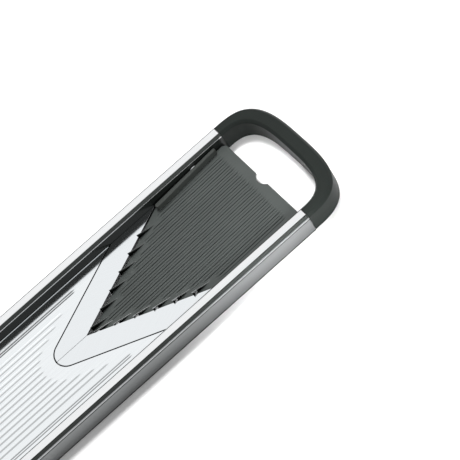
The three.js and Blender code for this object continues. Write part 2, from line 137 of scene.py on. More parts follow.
class SlicerSizes(bpy.types.PropertyGroup):
    edge_soft: length("Soft Edge", "Rounding of moulded edges", 0.35 * MM)
    edge_crisp: length("Crisp Edge", "Rounding of cut steel edges", 0.1 * MM)
    shoulder: length("Shoulder", "Width of the sloping shoulder of the handle", 2.4 * MM)
    ridge_pitch: length("Ridge Pitch", "Spacing of the runway's ridges", 5.3 * MM)
    ridge_width: length("Ridge Width", "Width of one ridge", 4.4 * MM)
    ridge_height: length("Ridge Height", "Height of one ridge", 0.26 * MM)
    ridge_margin: length("Ridge Margin", "Plain band along the blades", 9 * MM)
    rib_pitch: length("Rib Pitch", "Spacing of the insert's grooves", 5.4 * MM)
    rib_depth: length("Rib Depth", "Depth of the insert's grooves", 1.3 * MM)
    rib_width: length("Rib Width", "Width of the insert's grooves", 1.0 * MM)
    rib_margin: length("Rib Margin", "Plain band along the insert's V", 8 * MM)
    rib_band: length("Rib Band", "Plain band along the insert's rear edge", 9 * MM)
    knife_pitch: length("Knife Pitch", "Spacing of the julienne knives", 7.624 * MM)
    knife_first: length("First Knife", "Place of the innermost knives", 2.85 * MM)
    knife_height: length("Knife Height", "Height of a knife above the insert", 5.4 * MM)
    knife_length: length("Knife Length", "Length of a knife along the insert", 16.6 * MM)


# Colours of the slicer; several of them paint light and shade, as noted beside them.
class SlicerFinishesAndPaintedLight(bpy.types.PropertyGroup):
    polished: colour("Polished Steel", "Strips on top of the rails", (0.93, 0.94, 0.95))
    # Painted reflection: the panels' own steel tone, darkened to stand in for the dark
    # surroundings that the steel mirrors.
    brushed: colour("Brushed Steel", "Outer side panels", (0.26, 0.268, 0.27))
    # Painted highlight: the panels' folded edge is lighter than the panel, though both are the
    # same steel; the latch's dome also takes this colour.
    hem: colour("Hem Highlight", "Folded top edge of the side panels", (0.5, 0.51, 0.52))
    # Painted highlight: a glint on the knives' sloping backs and front facets, lighter than the
    # near-black knife steel.
    ground_glint: colour("Ground Steel Glint", "Ground edges of the knives", (0.7, 0.71, 0.71))
    # Painted light: the rails' sloping shoulders are lighter than the shaded walls below, though
    # both are the same plastic.
    shoulder: colour("Shoulder", "Sloping shoulders of the rails", (0.03, 0.034, 0.032))
    satin: colour("Satin Steel", "Runway and blades", (0.88, 0.91, 0.93))
    # Painted shade: the knife steel is near black to stand in for the dark reflections and shade
    # on the knives' faces.
    knife: colour("Knife Steel", "Julienne knives", (0.02, 0.022, 0.021))
    fastener: colour("Fastener", "Rivets, screws, pin and spring", (0.5, 0.51, 0.52))
    latch: colour("Latch Grey", "Latch of the insert", (0.034, 0.038, 0.035))
    insert: colour("Insert Grey", "Julienne insert", (0.049, 0.0555, 0.053))
    charcoal: colour("Charcoal", "Handle, foot and inner mouldings", (0.015, 0.018, 0.0165))
    # Also used as painted shade: the band under the panels' fold and the walls of the runway's
    # gap.
    gloss: colour("Gloss Black", "Rail cores", (0.011, 0.013, 0.012))
    rubber: colour("Rubber", "Base strips and foot pad", (0.018, 0.018, 0.019))
    grain: factor("Moulded Grain", "Strength of the moulded grain", 0.22)
    wear: factor("Edge Wear", "Strength of the lighter worn edges", 0.25)


class SlicerStage(bpy.types.PropertyGroup):
    lens: bpy.props.FloatProperty(
        name="Lens", description="Focal length of the camera", default=148.4, unit="CAMERA")
    azimuth: bpy.props.FloatProperty(
        name="Azimuth", description="Camera's turn round the slicer", default=radians(82.1),
        subtype="ANGLE")
    elevation: bpy.props.FloatProperty(
        name="Elevation", description="Camera's height above the deck", default=radians(51.31),
        subtype="ANGLE")
    roll: bpy.props.FloatProperty(
        name="Roll", description="Tilt of the camera about its own axis",
        default=radians(-35.45), subtype="ANGLE")
    distance: length("Distance", "From the camera to its aim", 1.5204)
    aim_x: bpy.props.FloatProperty(
        name="Aim X", description="Point of the deck at the middle of the view",
        default=16.6 * MM, unit="LENGTH")
    aim_y: bpy.props.FloatProperty(
        name="Aim Y", description="Point of the deck at the middle of the view",
        default=96.7 * MM, unit="LENGTH")
    softbox: bpy.props.FloatProperty(
        name="Softbox", description="Power of the large softbox that the steel mirrors",
        default=2.2, unit="POWER")
    key: bpy.props.FloatProperty(
        name="Key", description="Power of the light that casts the soft shadows",
        default=24, unit="POWER")
    fill: bpy.props.FloatProperty(
        name="Fill", description="Power of the low light by the handle", default=0.11,
        unit="POWER")
    glint: bpy.props.FloatProperty(
        name="Glint", description="Power of the long light that the runway's ridges mirror",
        default=0.37, unit="POWER")
    sky: factor("Sky", "Brightness of the studio round the slicer", 0.52)


def sizes():
    return bpy.context.scene.slicer_sizes


def finishes():
    return bpy.context.scene.slicer_finishes


# ---------------------------------------------------------------------------
# Node materials
# ---------------------------------------------------------------------------

def node(tree, kind, inputs=None, **settings):
    """A new node, with its settings made and its inputs set or linked."""
    made = tree.nodes.new(kind)
    for key, value in settings.items():
        setattr(made, key, value)
    for key, value in (inputs or {}).items():
        if isinstance(value, bpy.types.NodeSocket):
            tree.links.new(value, made.inputs[key])
        else:
            made.inputs[key].default_value = value
    return made


def blank(name):
    mat = bpy.data.materials.new(name)
    mat.use_nodes = True
    return mat, mat.node_tree, mat.node_tree.nodes["Principled BSDF"]


def stretched(tree, scale, turn=0.0):
    """Object coordinates, turned about Z and scaled apart along the three axes."""
    place = node(tree, "ShaderNodeTexCoord")
    turned = node(tree, "ShaderNodeMapping",
                  {"Vector": place.outputs["Object"], "Rotation": (0, 0, turn)})
    scaled = node(tree, "ShaderNodeMapping",
                  {"Vector": turned.outputs["Vector"], "Scale": scale})
    return scaled.outputs["Vector"]


def noise(tree, vector, scale=1.0, detail=3.0, rough=0.55):
    made = node(tree, "ShaderNodeTexNoise", {
        "Vector": vector, "Scale": scale, "Detail": detail, "Roughness": rough})
    return made.outputs["Fac"]


def spread(tree, value, low, high, first=0.3, last=0.7):
    """A 0 to 1 pattern brought to the range low to high."""
    made = node(tree, "ShaderNodeMapRange", {
        "Value": value, "From Min": first, "From Max": last, "To Min": low, "To Max": high})
    return made.outputs["Result"]


def mixed(tree, amount, first, second):
    """Between two colours, given as values or as sockets, by a 0 to 1 pattern."""
    made = node(tree, "ShaderNodeMix", {0: amount}, data_type="RGBA")
    shades = [s for s in made.inputs if s.type == "RGBA"]
    for socket, shown in zip(shades, (first, second)):
        if isinstance(shown, bpy.types.NodeSocket):
            tree.links.new(shown, socket)
        else:
            socket.default_value = (*shown, 1)
    return next(s for s in made.outputs if s.type == "RGBA")


def shade(base, amount):
    return [min(1.0, c * amount) for c in base]


def past(tree, axis, level, inside=0.0, outside=1.0):
    """One value within a distance of the frame's origin along an axis, another beyond it."""
    blur = 0.05 * MM
    place = node(tree, "ShaderNodeTexCoord")
    split = node(tree, "ShaderNodeSeparateXYZ", {"Vector": place.outputs["Object"]})
    away = node(tree, "ShaderNodeMath", {0: split.outputs[axis]}, operation="ABSOLUTE")
    return spread(tree, away.outputs[0], inside, outside, level - blur, level + blur)


def marked(tree, name):
    """The value that a piece's faces carry under that name."""
    return node(tree, "ShaderNodeAttribute", attribute_name=name).outputs["Fac"]


def second_tone_and_painted_light(tree, mask, base):
    """A second colour on one part of a piece, picked out by a mask: mostly painted light and
    shade, brighter or darker than the rest.
    """
    shown = tree.nodes["Principled BSDF"].inputs["Base Color"]
    tree.links.new(mixed(tree, mask, shown.links[0].from_socket, base), shown)


def brushed_steel(name, base, rough, along=(900, 14, 900), turn=0.0, depth=0.012, vary=0.08):
    """Steel whose fine brush lines run the way in which the pattern is stretched."""
    mat, tree, shader = blank(name)
    lines = noise(tree, stretched(tree, along, turn), 1.0, 4.0, 0.7)
    clouds = noise(tree, stretched(tree, (18, 9, 18)), 1.0, 2.0)
    tone = mixed(tree, spread(tree, lines, 0, 1), shade(base, 1 - vary), shade(base, 1 + vary))
    tree.links.new(tone, shader.inputs["Base Color"])
    worn = node(tree, "ShaderNodeMath", {
        0: spread(tree, lines, rough * 0.82, rough * 1.2),
        1: spread(tree, clouds, -0.02, 0.03)}, operation="ADD")
    tree.links.new(worn.outputs["Value"], shader.inputs["Roughness"])
    bump = node(tree, "ShaderNodeBump", {
        "Height": lines, "Strength": 0.35, "Distance": depth * MM})
    tree.links.new(bump.outputs["Normal"], shader.inputs["Normal"])
    shader.inputs["Metallic"].default_value = 1.0
    return mat


def moulded(name, base, rough, grain_scale=2600, grain=0.22, wear=0.25, sheen=0.5):
    """Moulded plastic with a fine grain, slight clouds of colour and lighter rubbed places."""
    mat, tree, shader = blank(name)
    grains = noise(tree, stretched(tree, (grain_scale,) * 3), 1.0, 2.0, 0.6)
    clouds = noise(tree, stretched(tree, (26, 26, 26)), 1.0, 3.0)
    scuffs = noise(tree, stretched(tree, (420, 60, 420)), 1.0, 5.0, 0.75)
    tone = mixed(tree, spread(tree, clouds, 0, 1), shade(base, 0.93), shade(base, 1.08))
    rubbed = spread(tree, scuffs, 0, wear * 0.5, 0.62, 0.85)
    tree.links.new(mixed(tree, rubbed, tone, shade(base, 1.9)), shader.inputs["Base Color"])
    tree.links.new(spread(tree, scuffs, rough * 0.92, rough * 1.1), shader.inputs["Roughness"])
    bump = node(tree, "ShaderNodeBump", {
        "Height": grains, "Strength": grain, "Distance": 0.05 * MM})
    tree.links.new(bump.outputs["Normal"], shader.inputs["Normal"])
    shader.inputs["Specular IOR Level"].default_value = sheen
    return mat


MATERIALS = {}


def make_materials():
    tones = finishes()
    grain, wear = tones.grain, tones.wear
    MATERIALS.update({
        "top_strip": brushed_steel("polished_strip", tones.polished, 0.13,
                                   (700, 6, 700), depth=0.004, vary=0.03),
        "inner_trim": brushed_steel("polished_trim", tones.polished, 0.16,
                                    (700, 6, 700), depth=0.004, vary=0.03),
        "side_panel": brushed_steel("brushed_panel_painted_light", tones.brushed, 0.42,
                                    (60, 3, 1500), depth=0.02, vary=0.1),
        "runway": brushed_steel("satin_runway_painted_shade", shade(tones.satin, 1.05), 0.13,
                                (800, 7, 800), depth=0.003, vary=0.03),
        "blade_left": brushed_steel("satin_blade_left", tones.satin, 0.1, (900, 9, 900),
                                    V_HALF, depth=0.002, vary=0.015),
        "blade_right": brushed_steel("satin_blade_right", tones.satin, 0.1, (900, 9, 900),
                                     -V_HALF, depth=0.002, vary=0.015),
        "knife": brushed_steel("knife_steel_painted_light", tones.knife, 0.12, (200, 30, 900),
                               depth=0.0015, vary=0.05),
        "fastener": brushed_steel("fastener_steel", tones.fastener, 0.3, (400, 400, 400),
                                  depth=0.01, vary=0.1),
        "insert": moulded("insert_plastic", tones.insert, 0.46, 2400, grain, wear),
        "latch": moulded("latch_plastic", tones.latch, 0.46, 2400, grain, wear),
        "handle": moulded("handle_plastic", tones.charcoal, 0.45, 1800, grain * 1.3, wear, 0.12),
        "foot_cap": moulded("foot_plastic", tones.charcoal, 0.45, 1800, grain * 1.3, wear, 0.12),
        "tray": moulded("tray_plastic", tones.charcoal, 0.55, 1600, grain, wear),
        "rail_core": moulded("rail_plastic_painted_light", tones.gloss, 0.22, 1400, grain * 0.3, wear * 0.5,
                             0.35),
        "base_strip": moulded("soft_rubber", tones.rubber, 0.8, 1200, grain * 1.8, wear),
    })
    panel, strip, rail, runway, knife, latch = (MATERIALS[key].node_tree for key in (
        "side_panel", "top_strip", "rail_core", "runway", "knife", "latch"))
    # Painted shade: a near-black band under the side panels' fold.
    second_tone_and_painted_light(panel, past(panel, "Z", HEM_Z - HEM_FOLD - HEM_LINE), tones.gloss)
    # Painted highlight: the fold of the side panels lighter than the rest of the panel.
    second_tone_and_painted_light(panel, past(panel, "Z", HEM_Z - HEM_FOLD), tones.hem)
    second_tone_and_painted_light(strip, past(strip, "X", STRIP_HIGH.x - STRIP_EDGE), tones.gloss)
    # Painted light: the rail cores' sloping shoulders lighter than the walls below them.
    second_tone_and_painted_light(rail, past(rail, "Z", HEM_Z), tones.shoulder)
    # Painted shade: the walls of the runway's gap near-black.
    second_tone_and_painted_light(runway, past(runway, "Z", DECK_Z - GAP_SHADE_DEPTH, 1.0, 0.0), tones.gloss)
    # Painted highlight: a glint on the knives' sloping backs and on the right knives' front
    # facets.
    second_tone_and_painted_light(knife, marked(knife, "ground_glint"), tones.ground_glint)
    second_tone_and_painted_light(latch, marked(latch, "dome"), tones.hem)


# ---------------------------------------------------------------------------
# Mesh tools
# ---------------------------------------------------------------------------

def outline_face(bm, points):
    """One face through a few points."""
    return bm.faces.new([bm.verts.new(p) for p in points])


def solid_from(points, vector):
    bm = bmesh.new()
    face = outline_face(bm, points)
    made = bmesh.ops.extrude_face_region(bm, geom=[face], use_keep_orig=True)
    bmesh.ops.translate(bm, vec=vector, verts=[
        g for g in made["geom"] if isinstance(g, bmesh.types.BMVert)])
    bmesh.ops.recalc_face_normals(bm, faces=bm.faces[:])
    return bm


def soften(bm, width, segments=2, angle=25.0, keep=None):
    """Rounds the edges where faces meet at more than the angle, but not those to keep."""
    sharp = [e for e in bm.edges if len(e.link_faces) == 2
             and e.calc_face_angle(0) > radians(angle) and not (keep and keep(e))]
    bmesh.ops.bevel(bm, geom=sharp, offset=width, offset_type="OFFSET", affect="EDGES",
                    segments=segments, profile=0.5, material=-1, clamp_overlap=True)
    bmesh.ops.remove_doubles(bm, verts=bm.verts[:], dist=1e-7)


def finish_piece(bm, name, body, material, stands_for=(), angle=32.0):
    """Turns a bmesh into a piece that rides on a body, with smooth faces and sharp corners."""
    for face in bm.faces:
        face.smooth = True
    for edge in bm.edges:
        edge.smooth = len(edge.link_faces) == 2 and edge.calc_face_angle(0) < radians(angle)
    mesh = bpy.data.meshes.new(name)
    bm.to_mesh(mesh)
    bm.free()
    piece = bpy.data.objects.new(name, mesh)
    bpy.context.scene.collection.objects.link(piece)
    mesh.materials.append(material)
    even = piece.modifiers.new("even_shading", "WEIGHTED_NORMAL")
    even.keep_sharp = True
    even.weight = 80
    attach(piece, body)
    if stands_for:
        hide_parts(*stands_for)
    return piece


def softened_copy(node_name, piece_name, body, material, width, segments=2):
    """A copy of a frame part, its triangles merged into flat faces and its edges rounded."""
    bm = bmesh.new()
    bm.from_mesh(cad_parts[node_name].data)
    bmesh.ops.remove_doubles(bm, verts=bm.verts[:], dist=2e-6)
    bmesh.ops.dissolve_limit(bm, angle_limit=radians(0.6), verts=bm.verts[:], edges=bm.edges[:],
                             use_dissolve_boundaries=False)
    bmesh.ops.recalc_face_normals(bm, faces=bm.faces[:])
    soften(bm, width, segments, 28.0)
    return finish_piece(bm, piece_name, body, material, [node_name])


def mapped_grid(columns, rows, place):
    """A grid whose points are moved to place(column, row)."""
    bm = bmesh.new()
    bmesh.ops.create_grid(bm, x_segments=columns, y_segments=rows, size=0.5)
    for vert in bm.verts:
        column = round((vert.co.x + 0.5) * columns)
        row = round((vert.co.y + 0.5) * rows)
        vert.co = place(column, row)
    return bm


def close_below(bm, level):
    """Walls down from the rim of a sheet to a flat underside at that level."""
    rim = [e for e in bm.edges if e.is_boundary]
    made = bmesh.ops.extrude_edge_only(bm, edges=rim)
    low = [g for g in made["geom"] if isinstance(g, bmesh.types.BMVert)]
    for vert in low:
        vert.co.z = level
    floor = [e for e in bm.edges if e.is_boundary]
    bmesh.ops.triangle_fill(bm, edges=floor, use_beauty=True)
    bmesh.ops.recalc_face_normals(bm, faces=bm.faces[:])


def run_along(section, y0, y1):
    """A section in X and Z, run along Y."""
    return solid_from([(x, y0, z) for x, z in section], (0, y1 - y0, 0))


def rectangle(low, high):
    """A section that fills the box from one corner to the other."""
    return [(low.x, low.z), (high.x, low.z), (high.x, high.z), (low.x, high.z)]


def mirrored(section, side):
    return [(side * x, z) for x, z in section]


# ---------------------------------------------------------------------------
# Rails
# ---------------------------------------------------------------------------

def build_top_strip(name, side):
    low, high = STRIP_LOW, STRIP_HIGH
    bm = run_along(mirrored(rectangle(low, high), side), low.y, high.y)

    def underneath(edge):
        return max(v.co.z for v in edge.verts) < high.z - 0.1 * MM

    soften(bm, 0.28 * MM, 3, keep=underneath)
    finish_piece(bm, f"{name}_rail_strip", "frame", MATERIALS["top_strip"],
                 [f"{name}_top_strip"])


def build_side_panel(name, side):
    """A steel sheet with a folded top edge and a fine line below the fold."""
    low, high = PANEL_LOW, PANEL_HIGH
    hem = high.z - HEM_FOLD
    face = high.x - 0.2 * MM
    line = high.x - 0.28 * MM
    corner = 0.45 * MM
    section = [(low.x, low.z), (face, low.z), (face, hem - HEM_LINE), (line, hem - HEM_LINE),
               (line, hem), (high.x, hem), (high.x, high.z - corner),
               (high.x - corner, high.z), (low.x, high.z)]
    bm = run_along(mirrored(section, side), low.y, high.y)
    soften(bm, 0.06 * MM, 2)
    finish_piece(bm, f"{name}_rail_panel", "frame", MATERIALS["side_panel"],
                 [f"{name}_side_panel"])


def build_inner_trim(name, side):
    low, high = TRIM_LOW, TRIM_HIGH
    bm = run_along(mirrored(rectangle(low, high), side), low.y, high.y)
    soften(bm, 0.2 * MM, 3)
    finish_piece(bm, f"{name}_rail_trim", "frame", MATERIALS["inner_trim"],
                 [f"{name}_inner_trim"])


def build_rails():
    soft = sizes().edge_soft
    for name, side in SIDES:
        build_top_strip(name, side)
        build_side_panel(name, side)
        build_inner_trim(name, side)
        softened_copy(f"{name}_base_strip", f"{name}_rail_foot", "frame",
                      MATERIALS["base_strip"], soft * 0.5)
        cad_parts[f"{name}_rail_core"].data.materials.clear()
        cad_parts[f"{name}_rail_core"].data.materials.append(MATERIALS["rail_core"])


# ---------------------------------------------------------------------------
# Handle and foot
# ---------------------------------------------------------------------------

HANDLE_ROUND = 3.2      # 2 would make the loop's outline an ellipse, more makes it squarer


def loop_points(half_width, reach, steps):
    """A superellipse from its right end over the far side to its left end."""
    points = []
    for i in range(steps + 1):
        turn = pi * i / steps
        c, s = cos(turn), max(0.0, sin(turn))
        sign = 1 if c >= 0 else -1
        points.append((half_width * sign * abs(c) ** (2 / HANDLE_ROUND),
                       reach * s ** (2 / HANDLE_ROUND)))
    return points


def build_handle():
    start = RAIL_Y1 + 0.3 * MM
    reach = HANDLE_HIGH.y - start
    top = HANDLE_HIGH.z
    bar = 14 * MM
    outer = loop_points(HANDLE_HIGH.x, reach, 96)
    inner = loop_points(RAIL_IN, reach - bar, 80)[::-1]
    points = [(x, start + y, 0) for x, y in outer + inner]
    bm = solid_from(points, (0, 0, top))

    def at_joint(edge):
        return all(abs(v.co.y - start) < 1e-5 for v in edge.verts)

    def rim(level):
        return [e for e in bm.edges if not at_joint(e)
                and all(abs(v.co.z - level) < 1e-6 for v in e.verts)]

    shoulder = sizes().shoulder
    bmesh.ops.bevel(bm, geom=rim(top), offset=shoulder, offset_type="OFFSET",
                    affect="EDGES", segments=1, profile=0.5, material=-1, clamp_overlap=True)
    bmesh.ops.bevel(bm, geom=rim(0.0), offset=shoulder * 0.7, offset_type="OFFSET",
                    affect="EDGES", segments=4, profile=0.5, material=-1, clamp_overlap=True)
    soften(bm, 0.55 * MM, 3, 30.0, keep=at_joint)
    finish_piece(bm, "loop_handle", "frame", MATERIALS["handle"], ["handle_loop"], 40)


def build_foot():
    softened_copy("foot_end_cap", "foot_end", "frame", MATERIALS["foot_cap"],
                  sizes().edge_soft * 1.3, 3)
    low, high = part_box("foot_pad")
    bm = run_along(rectangle(low, high), low.y, high.y)
    soften(bm, 0.3 * MM, 2)
    finish_piece(bm, "foot_grip", "frame", MATERIALS["base_strip"], ["foot_pad"])


# ---------------------------------------------------------------------------
# Runway and blades
# ---------------------------------------------------------------------------

def bead(offset, width):
    """0 to 1 across a rounded bead of that width."""
    if abs(offset) > width / 2:
        return 0.0
    return cos(pi * offset / width) ** 2


def ease(value):
    """A smooth step from 0 to 1."""
    t = max(0.0, min(1.0, value))
    return t * t * (3 - 2 * t)


RIDGES_A_SIDE = 7
COLUMNS = 208
NEAR_ROWS = 22
FAR_ROWS = 5


def build_runway():
    size = sizes()
    gap = 1.1 * MM
    crease = 44.3 * MM
    crease_half = 1.1 * MM
    crease_width = 1.3 * MM
    crease_depth = 0.25 * MM
    crease_end = 2 * MM
    flange = 0.5 * MM
    flange_thick = 0.3 * MM
    flange_root = 0.42 * MM
    sheet = 0.6 * MM
    near = 38 * MM
    run_out = 7 * MM
    inner_x = DECK_X - 0.9 * MM
    y0 = DECK_LOW.y
    edge_stations = {0: (-DECK_X, flange), 1: (-DECK_X + flange_thick, flange),
                     2: (-DECK_X + flange_root, 0.0)}

    def height(x, y):
        rise = 0.0
        for k in range(RIDGES_A_SIDE):
            centre = (k + 0.5) * size.ridge_pitch
            across = bead(abs(x) - centre, size.ridge_width)
            if across:
                end = nose_line(centre, size.ridge_margin)
                rise += size.ridge_height * across * ease((end - y) / run_out)
        line_end = nose_line(crease, size.ridge_margin + crease_end)
        for line in (crease - crease_half, crease + crease_half):
            across = bead(abs(x) - line, crease_width)
            rise -= crease_depth * across * ease((line_end - y) / crease_end)
        return rise

    def place(column, row):
        mirror = COLUMNS - column
        if column in edge_stations:
            x, lift = edge_stations[column]
        elif mirror in edge_stations:
            x, lift = edge_stations[mirror]
            x = -x
        else:
            taken = len(edge_stations)
            x = inner_x * (2 * (column - taken) / (COLUMNS - 2 * taken) - 1)
            lift = 0.0
        back = nose_line(x, gap)
        from_edge = NEAR_ROWS + FAR_ROWS - row
        if from_edge <= NEAR_ROWS:
            y = back - near * from_edge / NEAR_ROWS
        else:
            t = (from_edge - NEAR_ROWS) / FAR_ROWS
            y = (back - near) * (1 - t) + y0 * t
        return x, y, DECK_Z + (lift if lift else height(x, y))

    bm = mapped_grid(COLUMNS, NEAR_ROWS + FAR_ROWS, place)
    close_below(bm, DECK_Z - sheet)
    finish_piece(bm, "ridged_runway", "frame", MATERIALS["runway"],
                 ["runway_plate"], 50)


def build_blades():
    crisp = sizes().edge_crisp
    for name, _ in SIDES:
        softened_copy(f"{name}_blade", f"{name}_wing_blade", "frame",
                      MATERIALS[f"blade_{name}"], crisp * 0.8, 2)


def build_supports():
    soft = sizes().edge_soft
    for part, piece in (("runway_tray", "runway_support"), ("rear_cross_brace", "rear_brace"),
                        ("left_blade_carrier", "left_blade_seat"),
                        ("right_blade_carrier", "right_blade_seat")):
        softened_copy(part, piece, "frame", MATERIALS["tray"], soft * 0.6, 2)


# ---------------------------------------------------------------------------
# Julienne insert
# ---------------------------------------------------------------------------

RIBS_A_SIDE = 8
KNIVES_A_SIDE = 6
FRONT_BAND = 26 * MM
REAR_BAND = 26 * MM
FRONT_ROWS = 13
MIDDLE_ROWS = 5
REAR_ROWS = 14
LIP = 0.9 * MM      # slope along the insert's V


def insert_columns(size):
    """X of the columns of the insert's face: both lips and the floor of every groove."""
    half, third = size.rib_width / 2, size.rib_width / 3
    right = [0.0]
    for k in range(RIBS_A_SIDE + 1):
        groove = k * size.rib_pitch
        crease = groove + size.rib_pitch / 2
        lips = [groove + half, (groove + half + crease - third) / 2,
                crease - third, crease, crease + third]
        right += lips + [(crease + third + groove + size.rib_pitch - half) / 2,
                         groove + size.rib_pitch - half, groove + size.rib_pitch]
    right = [x for x in right if x < INSERT_X - 4 * MM]
    right += [INSERT_X - d for d in (3 * MM, 2 * MM, 1 * MM, 0.3 * MM, 0.0)]
    return [-x for x in right[:0:-1]] + right


def insert_rows():
    """Where the rows of the insert's face lie: close together where its ribs end."""
    rows = [("front", 0.0), ("front", LIP)]
    rows += [("front", FRONT_BAND * i / FRONT_ROWS) for i in range(1, FRONT_ROWS + 1)]
    rows += [("middle", i / MIDDLE_ROWS) for i in range(1, MIDDLE_ROWS)]
    rows += [("rear", REAR_BAND * i / REAR_ROWS) for i in range(REAR_ROWS, -1, -1)]
    return rows


def build_insert():
    size = sizes()
    gap = 0.8 * MM
    corner = 3 * MM
    notch_r = 11 * MM
    notch_out = 7 * MM
    dish_r = 30 * MM
    dish_depth = 0.5 * MM
    dish_back = 12 * MM
    front_fade = 5 * MM
    rear_fade = 2 * MM
    crease_share = 0.5
    rear = INSERT_LONG
    rows = insert_rows()
    columns = insert_columns(size)

    def rear_edge(x):
        if abs(x) < sqrt(notch_r ** 2 - notch_out ** 2):
            return rear + notch_out - sqrt(notch_r ** 2 - x * x)
        return rear - max(0.0, abs(x) - (INSERT_X - corner))

    def height(x, y):
        drop = 0.0
        nearest = round(x / size.rib_pitch)
        if abs(nearest) <= RIBS_A_SIDE:
            start = edge_y(nearest * size.rib_pitch, -size.rib_margin)
            end = rear - size.rib_band
            fade = ease((y - start) / front_fade) * ease((end - y) / rear_fade)
            offset = abs(x - nearest * size.rib_pitch)
            groove = max(0.0, 1 - offset / (size.rib_width / 2))
            crease = max(0.0, 1 - abs(offset - size.rib_pitch / 2) / (size.rib_width / 3))
            drop += fade * size.rib_depth * (groove + crease * crease_share)
        centre = Vector((0, rear - dish_back))
        away = (Vector((x, y)) - centre).length
        if away < dish_r:
            drop += max(0.0, sqrt(dish_r ** 2 - away ** 2) - (dish_r - dish_depth))
        return -drop

    def place(column, row):
        x = columns[column]
        front = edge_y(x, -gap)
        back = rear_edge(x)
        kind, amount = rows[row]
        if kind == "front":
            y = front + amount
        elif kind == "rear":
            y = back - amount
        else:
            y = (front + FRONT_BAND) * (1 - amount) + (back - REAR_BAND) * amount
        z = height(x, y)
        if row == 0:
            z = -LIP
        return x, y, z

    bm = mapped_grid(len(columns) - 1, len(rows) - 1, place)
    close_below(bm, -INSERT_THICK)
    bm.transform(INSERT_FRAME)
    finish_piece(bm, "ribbed_insert", "insert", MATERIALS["insert"],
                 ["insert_plate"], 60)


def build_knives():
    """Upright knives, ground thin along their front edges and their sloping backs; a painted
    glint lies on their backs, brighter on the right knives, and on the right knives' front
    facets.
    """
    size = sizes()
    thick = 0.6 * MM
    tip = 1.7 * MM
    # length of the ground front facet, which on the right knives carries the painted glint
    ground_glint = 4.2 * MM
    seat = 1.2 * MM
    drop = 3.4 * MM
    tab = 0.9 * MM
    heel = 0.2 * MM
    spine = 1.1 * MM
    tall, back_end = size.knife_height, size.knife_length + 0.5 * MM
    keen = 0.1
    back_thin = 0.4
    for name, side in SIDES:
        # painted glint: full on the right knives, dimmer on the left, as the light falls
        painted_glint = 1.0 if side > 0 else 0.4
        for i in range(KNIVES_A_SIDE):
            x = size.knife_first + i * size.knife_pitch
            y = edge_y(x + thick / 2, -0.15 * MM)
            points = [(tall, 0), (-drop, 0), (-drop, tab), (-seat, tab),
                      (-seat, back_end), (-heel, back_end)]
            bm = solid_from([(-thick / 2, y + dy, z) for z, dy in points], (thick, 0, 0))
            for cut in (tip, ground_glint):
                bmesh.ops.bisect_plane(bm, geom=bm.verts[:] + bm.edges[:] + bm.faces[:],
                                       plane_co=(0, y + cut, 0), plane_no=(0, 1, 0))
            slope = Vector((0, tall, back_end)).normalized()
            back = Vector((0, y, tall - spine))
            bmesh.ops.bisect_plane(bm, geom=bm.verts[:] + bm.edges[:] + bm.faces[:],
                                   plane_co=back, plane_no=slope)
            for vert in bm.verts:
                thin = min(1.0, keen + (1 - keen) * (vert.co.y - y) / ground_glint)
                if (vert.co - back).dot(slope) > 0.2 * MM:
                    thin *= back_thin
                vert.co.x *= thin
            # faces of the sloping back, and the right knives' front facets, take the painted
            # glint colour
            layer = bm.faces.layers.float.new("ground_glint")
            for face in bm.faces:
                facet = all(tip - 1e-5 < v.co.y - y < ground_glint + 1e-5 for v in face.verts)
                upper = all((v.co - back).dot(slope) > -1e-5 for v in face.verts)
                face[layer] = painted_glint if upper or (facet and side > 0) else 0.0
            bm.transform(INSERT_FRAME @ Matrix.Translation((side * x, 0, 0)))
            bmesh.ops.recalc_face_normals(bm, faces=bm.faces[:])
            finish_piece(bm, f"{name}_knife_{i + 1}", "insert", MATERIALS["knife"],
                         [f"julienne_knife_{name}_{i + 1}"], 3)


# ---------------------------------------------------------------------------
# Latch
# ---------------------------------------------------------------------------

PIN_X = -50 * MM
PIN_Y = 114.5 * MM
PIN_FRAME = INSERT_FRAME @ Matrix.Translation((PIN_X, PIN_Y, 0))
ARM_TALL = 5.2 * MM
PIN_FOOT = -5.6 * MM
PIN_COVER = 1.5 * MM    # thickness of the arm over the pin
ARM_YAW = radians(2.4)


def build_latch_arm():
    """A slim tapered bar with round ends, and a dome on its rail side."""
    long = 64.5 * MM
    tall = ARM_TALL
    dome_half = (1.85 * MM, 3.7 * MM, 1.9 * MM)
    dome_place = (-1.62 * MM, 42.3 * MM, tall - 2.1 * MM)
    front, rear = 2.2 * MM, 1.6 * MM
    clear = 0.3 * MM
    steps = 16
    points = []
    for i in range(steps + 1):
        turn = pi + pi * i / steps
        points.append((front * cos(turn), front * sin(turn), clear))
    for i in range(steps + 1):
        turn = pi * i / steps
        points.append((rear * cos(turn), long + rear * sin(turn), clear))
    bm = solid_from(points, (0, 0, tall - clear))
    rim = [e for e in bm.edges if all(v.co.z > tall - 1e-6 for v in e.verts)]
    bmesh.ops.bevel(bm, geom=rim, offset=0.6 * MM, offset_type="OFFSET", affect="EDGES",
                    segments=3, profile=0.5, material=-1, clamp_overlap=True)
    layer = bm.faces.layers.float.new("dome")
    dome = bmesh.ops.create_uvsphere(bm, u_segments=32, v_segments=16, radius=1.0)
    bmesh.ops.scale(bm, vec=dome_half, verts=dome["verts"])
    bmesh.ops.translate(bm, vec=dome_place, verts=dome["verts"])
    for vert in dome["verts"]:
        for face in vert.link_faces:
            face[layer] = 1.0
    bm.transform(PIN_FRAME @ Matrix.Rotation(ARM_YAW, 4, "Z"))
    finish_piece(bm, "latch_bar", "latch", MATERIALS["latch"], ["latch_arm"], 45)


